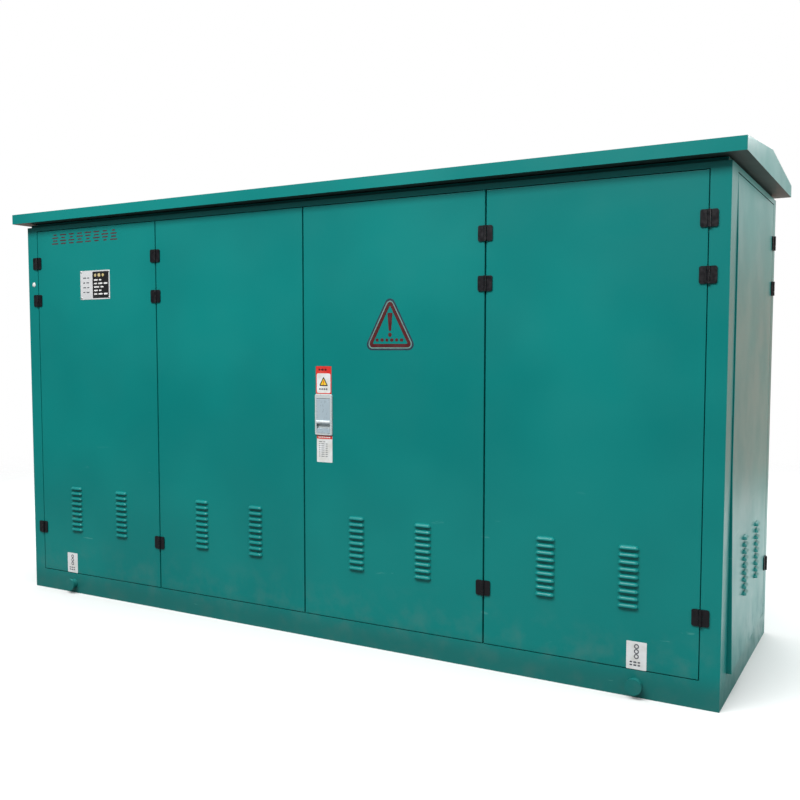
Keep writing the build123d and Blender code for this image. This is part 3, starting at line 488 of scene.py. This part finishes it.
def dashes(left, right, levels, bar, lengths, gap):
    """Rounded bars in rows from left to right, their lengths repeating, in place of lettering."""
    outlines = []
    count = 0
    for level in levels:
        start = left
        while True:
            length = lengths[count % len(lengths)]
            count += 1
            if start + length > right:
                break
            middle = (start + length / 2, level)
            outlines.append(rectangle(middle, length, bar, radius=bar * 0.45, steps=2))
            start += length + gap
    return outlines


# ================= warning triangle on leaf 3 =================
SIGN_MIDDLE = LEAF_3[0].x + 0.3555
SIGN_BASE = LEAF_3[0].z + 0.967
SIGN_WIDTH = 0.209
SIGN_HEIGHT = 0.200


def sign_ring(name, insets, radii, material):
    """One closed line of the sign between two insets."""
    outer, inner = [
        triangle(SIGN_MIDDLE, SIGN_BASE, SIGN_WIDTH, SIGN_HEIGHT, inset, radius)
        for inset, radius in zip(insets, radii)
    ]
    piece(name, rings([(outer, inner)], 0.0, FILM), material, "leaf_3")


def warning_sign():
    """Triangle in bands of navy, pale grey and dark red, with a plain mark and dashes inside."""
    sign_ring("sign_outline", (0.0, 0.0058), (0.020, 0.0155), NAVY_PRINT)
    sign_ring("sign_pale_line", (0.0058, 0.0098), (0.0155, 0.012), PALE_PRINT)
    sign_ring("sign_red_band", (0.0098, 0.0218), (0.012, 0.002), DARK_RED)
    foot, top = SIGN_BASE + 0.066, SIGN_BASE + 0.128
    half_foot, half_top = 0.0045, 0.0100
    stroke = [
        (SIGN_MIDDLE - half_foot, foot),
        (SIGN_MIDDLE + half_foot, foot),
        (SIGN_MIDDLE + half_top, top),
        (SIGN_MIDDLE - half_top, top),
    ]
    dot_size = 0.014
    dot_middle = (SIGN_MIDDLE, SIGN_BASE + 0.053)
    dot = rectangle(dot_middle, dot_size, dot_size, radius=0.0069, steps=5)
    marks = plates([rounded(stroke, 0.003), dot], 0.0, FILM)
    piece("sign_mark", marks, DARK_RED, "leaf_3")
    level = SIGN_BASE + 0.035
    bars = dashes(SIGN_MIDDLE - 0.056, SIGN_MIDDLE + 0.056, (level,), 0.011, (0.012, 0.014), 0.006)
    piece("sign_dashes", plates(bars, 0.0, FILM), DARK_RED, "leaf_3")


# ================= heading on leaf 1 =================
def heading_bars():
    """Row of blocks, each a stack of dull red bars, where the cabinet carries its title."""
    left = LEAF_1[0].x + 0.0915
    low, high = LEAF_1[1].z - 0.060, LEAF_1[1].z - 0.018
    count, width, rows = 8, 0.394, 4
    pitch = width / count
    block = pitch * 0.80
    bar = 0.0052
    shares = (1.0, 0.7, 0.9, 0.5, 0.8, 1.0, 0.6)
    outlines = []
    for index in range(count):
        for row in range(rows):
            length = block * shares[(index * rows + row) % len(shares)]
            centre = left + index * pitch + block / 2
            level = low + bar / 2 + row * (high - low - bar) / (rows - 1)
            outlines.append(rectangle((centre, level), length, bar, radius=0.002, steps=2))
    piece("heading_bars", plates(outlines, 0.0, FILM), DULL_RED, "leaf_1")


# ================= nameplate =================
def nameplate_print():
    """Black field and rows of plain marks on the aluminium plate."""
    face = FRONT - PLATE[0].y
    width, height = PLATE[1].x - PLATE[0].x, PLATE[1].z - PLATE[0].z
    field_left = PLATE[0].x + 0.42 * width
    field_right = PLATE[1].x - 0.006
    middle = ((field_left + field_right) / 2, PLATE_MIDDLE.z)
    field = rectangle(middle, field_right - field_left, height - 0.010, radius=0.004)
    piece("nameplate_field", plates([field], face, face + INK), BLACK_PRINT, "leaf_1")
    top = PLATE_MIDDLE.z + 0.040
    title = dashes(field_left + 0.010, field_right - 0.008, (top,), 0.014, (0.012, 0.016), 0.008)
    proud = face + INK
    piece("nameplate_title", plates(title, proud, proud + INK), GOLD_PRINT, "leaf_1")
    levels = [PLATE_MIDDLE.z + 0.020 - 0.0145 * row for row in range(5)]
    lengths = (0.022, 0.014, 0.030, 0.018, 0.024)
    rows = dashes(field_left + 0.008, field_right - 0.006, levels, 0.006, lengths, 0.007)
    piece("nameplate_rows", plates(rows, proud, proud + INK), WHITE_PRINT, "leaf_1")
    levels = [PLATE_MIDDLE.z + 0.030 - 0.020 * row for row in range(4)]
    notes = dashes(PLATE[0].x + 0.016, field_left - 0.010, levels, 0.004, (0.018, 0.012), 0.006)
    piece("nameplate_notes", plates(notes, face, face + INK), GREY_PRINT, "leaf_1")


def domes(spots, base, radius, height, segments=20, rows=5):
    """Mesh maker: closed shallow domes on the front, such as rivet heads."""
    def make(shape):
        for x, z in spots:
            loops = []
            for row in range(rows):
                tilt = math.pi / 2 * row / rows
                ring = []
                for step in range(segments):
                    angle = 2 * math.pi * step / segments
                    spot = (
                        x + radius * math.cos(tilt) * math.cos(angle),
                        z + radius * math.cos(tilt) * math.sin(angle),
                    )
                    ring.append(shape.verts.new(front_point(spot, base + height * math.sin(tilt))))
                loops.append(ring)
            crown = shape.verts.new(front_point((x, z), base + height))
            shape.faces.new(loops[0])
            for i in range(segments):
                j = (i + 1) % segments
                for lower, upper in zip(loops, loops[1:]):
                    shape.faces.new((lower[i], lower[j], upper[j], upper[i]))
                shape.faces.new((loops[-1][i], loops[-1][j], crown))

    return make


def smooth(made):
    """Shade every face of a piece smooth."""
    for face in made.data.polygons:
        face.use_smooth = True


def nameplate_rivets():
    """Domed rivets near the plate's corners."""
    inset = 0.006
    spots = [
        (x, z)
        for x in (PLATE[0].x + inset, PLATE[1].x - inset)
        for z in (PLATE[0].z + inset, PLATE[1].z - inset)
    ]
    face = FRONT - PLATE[0].y
    heads = domes(spots, face, radius=0.0042, height=0.002)
    smooth(piece("nameplate_rivets", heads, FINISHES["steel"], "leaf_1"))


# ================= labels beside the lock =================
LABEL_WIDTH = 0.066
PRINTED = FILM + INK         # height of a print's face over the skin


def label_piece(name, maker, material):
    """Piece of a label on leaf 3."""
    piece(name, maker, material, "leaf_3")


def label_above_lock():
    """Red label with a white panel, a caution triangle and bars in place of its wording."""
    x = LOCK_MIDDLE.x - 0.001
    low, high = LOCK[1].z + 0.001, LOCK[1].z + 0.100
    backing = rectangle((x, (low + high) / 2), LABEL_WIDTH, high - low, radius=0.002)
    label_piece("top_label", plates([backing], 0.0, FILM), SIGNAL_RED)
    panel_middle = low + 0.038
    panel = rectangle((x, panel_middle), LABEL_WIDTH - 0.008, 0.070, radius=0.006)
    label_piece("top_label_panel", plates([panel], FILM, PRINTED), FINISHES["label_print"])
    base = panel_middle - 0.010
    outer = triangle(x, base, 0.038, 0.034, 0.0, 0.003)
    inner = triangle(x, base, 0.038, 0.034, 0.0035, 0.0012)
    border = rings([(outer, inner)], PRINTED, PRINTED + INK)
    label_piece("top_label_border", border, BLACK_PRINT)
    field = plates([inner], PRINTED, PRINTED + INK * 0.8)
    label_piece("top_label_triangle", field, SIGNAL_YELLOW)
    stroke = rectangle((x, base + 0.0145), 0.0032, 0.011, radius=0.0012, steps=2)
    dot = rectangle((x, base + 0.0060), 0.0032, 0.0032, radius=0.0012, steps=2)
    marks = plates([stroke, dot], PRINTED, PRINTED + INK * 1.2)
    label_piece("top_label_mark", marks, SIGNAL_RED)
    bars = dashes(x - 0.019, x + 0.019, (panel_middle - 0.021,), 0.006, (0.007,), 0.0025)
    label_piece("top_label_dashes", plates(bars, PRINTED, PRINTED + INK), GREY_PRINT)
    heading = dashes(x - 0.022, x + 0.024, (high - 0.0125,), 0.007, (0.009, 0.011), 0.003)
    label_piece("top_label_heading", plates(heading, FILM, PRINTED), DARK_RED)


def label_below_lock():
    """White label with a red strip and rows of bars in place of its wording."""
    x = LOCK_MIDDLE.x + 0.002
    low, high = LOCK[0].z - 0.098, LOCK[0].z - 0.001
    sheet = rectangle((x, (low + high) / 2), LABEL_WIDTH, high - low, radius=0.002)
    label_piece("bottom_label", plates([sheet], 0.0, FILM), FINISHES["label_print"])
    strip_level = high - 0.0065
    strip = rectangle((x, strip_level), LABEL_WIDTH - 0.001, 0.012, radius=0.001)
    label_piece("bottom_label_strip", plates([strip], FILM, PRINTED), SIGNAL_RED)
    bars = dashes(x - 0.026, x + 0.027, (strip_level,), 0.005, (0.0055,), 0.002)
    label_piece("bottom_label_heading", plates(bars, PRINTED, PRINTED + INK), WHITE_PRINT)
    levels = [high - 0.023 - 0.0075 * row for row in range(8)]
    lines = dashes(x - 0.024, x + 0.025, levels, 0.0022, (0.014, 0.009, 0.020, 0.006), 0.004)
    label_piece("bottom_label_lines", plates(lines, FILM, PRINTED), GREY_PRINT)


# ================= lifting point stickers =================
LEFT_STICKER = (LEAF_1[0].x + 0.173, LEAF_1[0].z + 0.0440)
RIGHT_STICKER = (LEAF_4[1].x - 0.180, LEAF_4[0].z + 0.0435)


def lifting_sticker(name, body, middle):
    """White sticker with a short chain over rows of dashes, beside a lifting pin."""
    x, z = middle
    width, height = 0.061, 0.086
    sheet = rectangle(middle, width, height, radius=0.002)
    piece(name, plates([sheet], 0.0, FILM), FINISHES["label_print"], body)
    links = []
    for level in (z + 0.028, z + 0.0125, z - 0.003):
        outer = rectangle((x, level), 0.0150, 0.0150, radius=0.0072, steps=5)
        inner = rectangle((x, level), 0.0085, 0.0085, radius=0.0040, steps=5)
        links.append((outer, inner))
    piece(f"{name}_links", rings(links, FILM, FILM + INK), GREY_PRINT, body)
    bars = dashes(x - 0.020, x + 0.022, (z - 0.021, z - 0.030), 0.0048, (0.008, 0.010), 0.003)
    piece(f"{name}_dashes", plates(bars, FILM, FILM + INK), GREY_PRINT, body)


# ================= plug on the left post =================
PLUG_FROM_END = 0.078        # measured from the end of the roof
PLUG_FROM_TOP = 0.227        # measured from the top of leaf 1


def post_plug():
    """Domed white plug on the left post."""
    spot = (cad_low.x + PLUG_FROM_END, LEAF_1[1].z - PLUG_FROM_TOP)
    dome = domes([spot], 0.0, radius=0.010, height=0.004, segments=32, rows=7)
    smooth(piece("post_plug", dome, FINISHES["label_print"], "cabinet"))


# ================= baffle behind the air gap under the roof =================
def air_gap_baffle(shape):
    """Mesh maker: thin upright sheet all round, just inside the gap between header and roof."""
    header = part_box("header_frame")[1]
    clearance = 0.003            # left open between the sheet and the roof
    low, high = header.z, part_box("roof_shell")[0].z - clearance
    near, far = 0.012, 0.0135    # how far its two faces lie inside the header's face
    corners = ((-1, -1), (1, -1), (1, 1), (-1, 1))
    loops = [
        [shape.verts.new((x * (header.x - inset), y * (header.y - inset), level)) for x, y in corners]
        for inset, level in ((near, low), (near, high), (far, high), (far, low))
    ]
    join_loops(shape, loops)


# ================= sprung corner of the side door =================
SIDE_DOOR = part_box("side_door_panel")
SPRUNG_PROUD = 0.004         # how far the free edge stands out over most of its height
SPRUNG_FADE = 0.20           # length at its top over which that fades away
SPRUNG_CORNER = 0.011        # how much further its lower corner has sprung
SPRUNG_TOP = 0.70            # height where the corner starts to leave the frame
SHORTER = 0.018              # the lower bolt stops short of the keeper that it no longer meets
# how far each bolt stands off the bent lip, so that it slides freely
OFF_THE_LIP = {"side_door_top_bolt": 0.0001, "side_door_bottom_bolt": 0.0004}
CUT_HEIGHT = 0.03            # spacing of the level cuts that let it bend, over its lower part
LEVEL_CUTS = 20
CUT_WIDTH = 0.12             # spacing of the upright cuts
UPRIGHT_CUTS = 6
SHARP = math.radians(28)     # edges that turn by more than this are kept sharp


def clamp(value):
    """Value held between 0 and 1."""
    return min(1.0, max(0.0, value))


def sprung(point):
    """How far a point of the side door stands out at rest."""
    low, high = SIDE_DOOR
    across = clamp((high.y - point.y) / (high.y - low.y))
    proud = SPRUNG_PROUD * clamp((high.z - point.z) / SPRUNG_FADE)
    corner = SPRUNG_CORNER * clamp((SPRUNG_TOP - point.z) / (SPRUNG_TOP - low.z))
    return across * (proud + corner)


def shortened(height, tip):
    """Height of a point of the lower bolt once its end, from the tip up, is squeezed shorter."""
    squeezed = 2 * SHORTER
    return height + SHORTER * clamp(1.0 - (height - tip) / squeezed)


def cut_finely(shape):
    """Cut every face of a piece of the side door into strips narrow enough to bend."""
    heights = [SIDE_DOOR[0].z + CUT_HEIGHT * (step + 1) for step in range(LEVEL_CUTS)]
    heights.append(SIDE_DOOR[1].z - SPRUNG_FADE)
    columns = [SIDE_DOOR[0].y + CUT_WIDTH * (step + 1) for step in range(UPRIGHT_CUTS)]
    cuts = [((0, 0, z), (0, 0, 1)) for z in heights] + [((0, y, 0), (0, 1, 0)) for y in columns]
    for spot, normal in cuts:
        everything = [*shape.verts, *shape.edges, *shape.faces]
        bmesh.ops.bisect_plane(shape, geom=everything, dist=1e-6, plane_co=spot, plane_no=normal)


def bend(shape, name):
    """Spring a piece of the side door outwards; the lower bolt is shortened as well."""
    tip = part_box(name)[0].z
    for vertex in shape.verts:
        vertex.co.x += sprung(vertex.co) + OFF_THE_LIP.get(name, 0.0)
        if name == "side_door_bottom_bolt":
            vertex.co.z = shortened(vertex.co.z, tip)


def shade_bent(made):
    """Smooth shading with sharp edges, in place of the normals kept from before the bend."""
    mesh = made.data
    if "custom_normal" in mesh.attributes:
        mesh.attributes.remove(mesh.attributes["custom_normal"])
    smooth(made)
    mesh.set_sharp_from_angle(angle=SHARP)


def sprung_copy(name):
    """Bent copy of a piece of the side door, put in that piece's place."""
    source = frame["nodes"][name]
    mesh = source.data.copy()
    shape = bmesh.new()
    shape.from_mesh(mesh)
    cut_finely(shape)
    bend(shape, name)
    shape.to_mesh(mesh)
    shape.free()
    made = bpy.data.objects.new(f"{name}_sprung", mesh)
    bpy.context.scene.collection.objects.link(made)
    shade_bent(made)
    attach(made, source["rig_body"])
    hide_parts(name)


piece("air_gap_baffle", air_gap_baffle, FINISHES["cabinet_paint"], "cabinet")
warning_sign()
heading_bars()
nameplate_print()
nameplate_rivets()
label_above_lock()
label_below_lock()
for side_door_node in (
    "side_door_panel",
    "side_door_back_frame",
    "side_door_gasket",
    "side_door_top_bolt",
    "side_door_bottom_bolt",
):
    sprung_copy(side_door_node)
lifting_sticker("right_sticker", "leaf_4", RIGHT_STICKER)
lifting_sticker("left_sticker", "leaf_1", LEFT_STICKER)
post_plug()


# ================= stage, light and camera =================
def floor():
    """Pale floor that fades out into the background; the doors see a dimmer one before them."""
    graph = Finish("floor")
    radius = 12.0
    fades_from, gone_at = 2.6, 6.5    # distances from the cabinet's middle
    tone = graph.noise(0.8, detail=3.0)
    pale = graph.mix(tone, srgb(226, 226, 224), srgb(232, 232, 231))
    unseen = graph.mix(graph.remap(graph.axis("Y"), -0.6, 0.6), srgb(120, 120, 120), pale)
    camera_ray = graph.add("ShaderNodeLightPath", {}).outputs["Is Camera Ray"]
    colour = graph.mix(camera_ray, unseen, pale)
    diffuse = graph.add("ShaderNodeBsdfDiffuse", {"Color": colour}).outputs[0]
    clear = graph.add("ShaderNodeBsdfTransparent", {}).outputs[0]
    distance = graph.add("ShaderNodeVectorMath", {0: graph.coordinates}, operation="LENGTH")
    fade = graph.remap(distance.outputs["Value"], fades_from, gone_at)
    surface = graph.add("ShaderNodeMixShader", {0: fade, 1: diffuse, 2: clear}).outputs[0]
    graph.put(graph.tree.nodes["Material Output"].inputs["Surface"], surface)
    mesh = bpy.data.meshes.new("floor")
    shape = bmesh.new()
    bmesh.ops.create_circle(shape, cap_ends=True, radius=radius, segments=96)
    shape.to_mesh(mesh)
    shape.free()
    mesh.materials.append(graph.material)
    made = bpy.data.objects.new("floor", mesh)
    bpy.context.scene.collection.objects.link(made)


def world():
    """White backdrop; the light from it is dim in front, bright above and faintly red low behind."""
    surroundings = bpy.data.worlds.new("studio")
    bpy.context.scene.world = surroundings
    surroundings.use_nodes = True
    graph = Graph(surroundings.node_tree, "Generated")
    height = graph.axis("Z")
    behind = graph.remap(graph.axis("Y"), -0.3, 0.5)
    ground, haze = (0.06, 0.07, 0.07, 1.0), (0.42, 0.43, 0.44, 1.0)
    front = graph.mix(graph.remap(height, 0.0, 0.35), ground, haze)
    red_ground, pale_haze = (0.74, 0.46, 0.38, 1.0), (0.90, 0.98, 0.97, 1.0)
    rear = graph.mix(graph.remap(height, 0.03, 0.15), red_ground, pale_haze)
    sides = graph.mix(behind, front, rear)
    overhead = (0.95, 0.97, 1.0, 1.0)
    colour = graph.mix(graph.remap(height, 0.25, 0.9), sides, overhead)
    lighting = graph.add("ShaderNodeBackground", {"Color": colour}).outputs[0]
    white = (1.0, 1.0, 1.0, 1.0)
    backdrop = graph.add("ShaderNodeBackground", {"Color": white}).outputs[0]
    camera_ray = graph.add("ShaderNodeLightPath", {}).outputs["Is Camera Ray"]
    shown = graph.add("ShaderNodeMixShader", {0: camera_ray, 1: lighting, 2: backdrop}).outputs[0]
    graph.put(graph.tree.nodes["World Output"].inputs["Surface"], shown)


def softbox(name, location, target, size, power):
    """Rectangular area light aimed at a point; its power is in watts."""
    data = bpy.data.lights.new(name, "AREA")
    data.shape = "RECTANGLE"
    data.size, data.size_y = size
    data.energy = power
    lamp = bpy.data.objects.new(name, data)
    bpy.context.scene.collection.objects.link(lamp)
    lamp.location = location
    lamp.rotation_euler = (Vector(target) - Vector(location)).to_track_quat("-Z", "Y").to_euler()


def camera():
    """Camera about a metre up, to the right of the doors, looking to the left and a little down."""
    place = (1.9267, -3.3040, 1.0703)
    yaw, pitch, roll = 0.5445, 0.0688, -0.0029
    forward = Vector((
        -math.sin(yaw) * math.cos(pitch),
        math.cos(yaw) * math.cos(pitch),
        -math.sin(pitch),
    ))
    level = Vector((math.cos(yaw), math.sin(yaw), 0.0))
    upright = level.cross(forward)
    right = math.cos(roll) * level + math.sin(roll) * upright
    up = math.cos(roll) * upright - math.sin(roll) * level
    data = bpy.data.cameras.new("camera")
    data.sensor_width = 36.0
    data.lens = 42.62
    data.shift_x = 0.0621
    data.shift_y = 0.0132
    made = bpy.data.objects.new("camera", data)
    bpy.context.scene.collection.objects.link(made)
    turn = Matrix((right, up, -forward)).transposed().to_4x4()
    made.matrix_world = Matrix.Translation(place) @ turn
    bpy.context.scene.camera = made


floor()
world()
softbox("key_light", (-0.2, -3.7, 4.7), target=(0.0, -0.4, 1.1), size=(4.5, 1.5), power=278.0)
softbox("side_light", (4.6, -0.6, 2.6), target=(1.45, 0.0, 0.9), size=(1.6, 2.4), power=46.0)
softbox("top_light", (0.0, 0.0, 5.5), target=(0.0, 0.0, 0.6), size=(3.0, 3.0), power=90.0)
softbox("rear_light", (0.4, 4.6, 3.4), target=(0.0, 0.4, 1.2), size=(4.5, 1.6), power=120.0)
camera()
bpy.context.scene.view_settings.view_transform = "Standard"
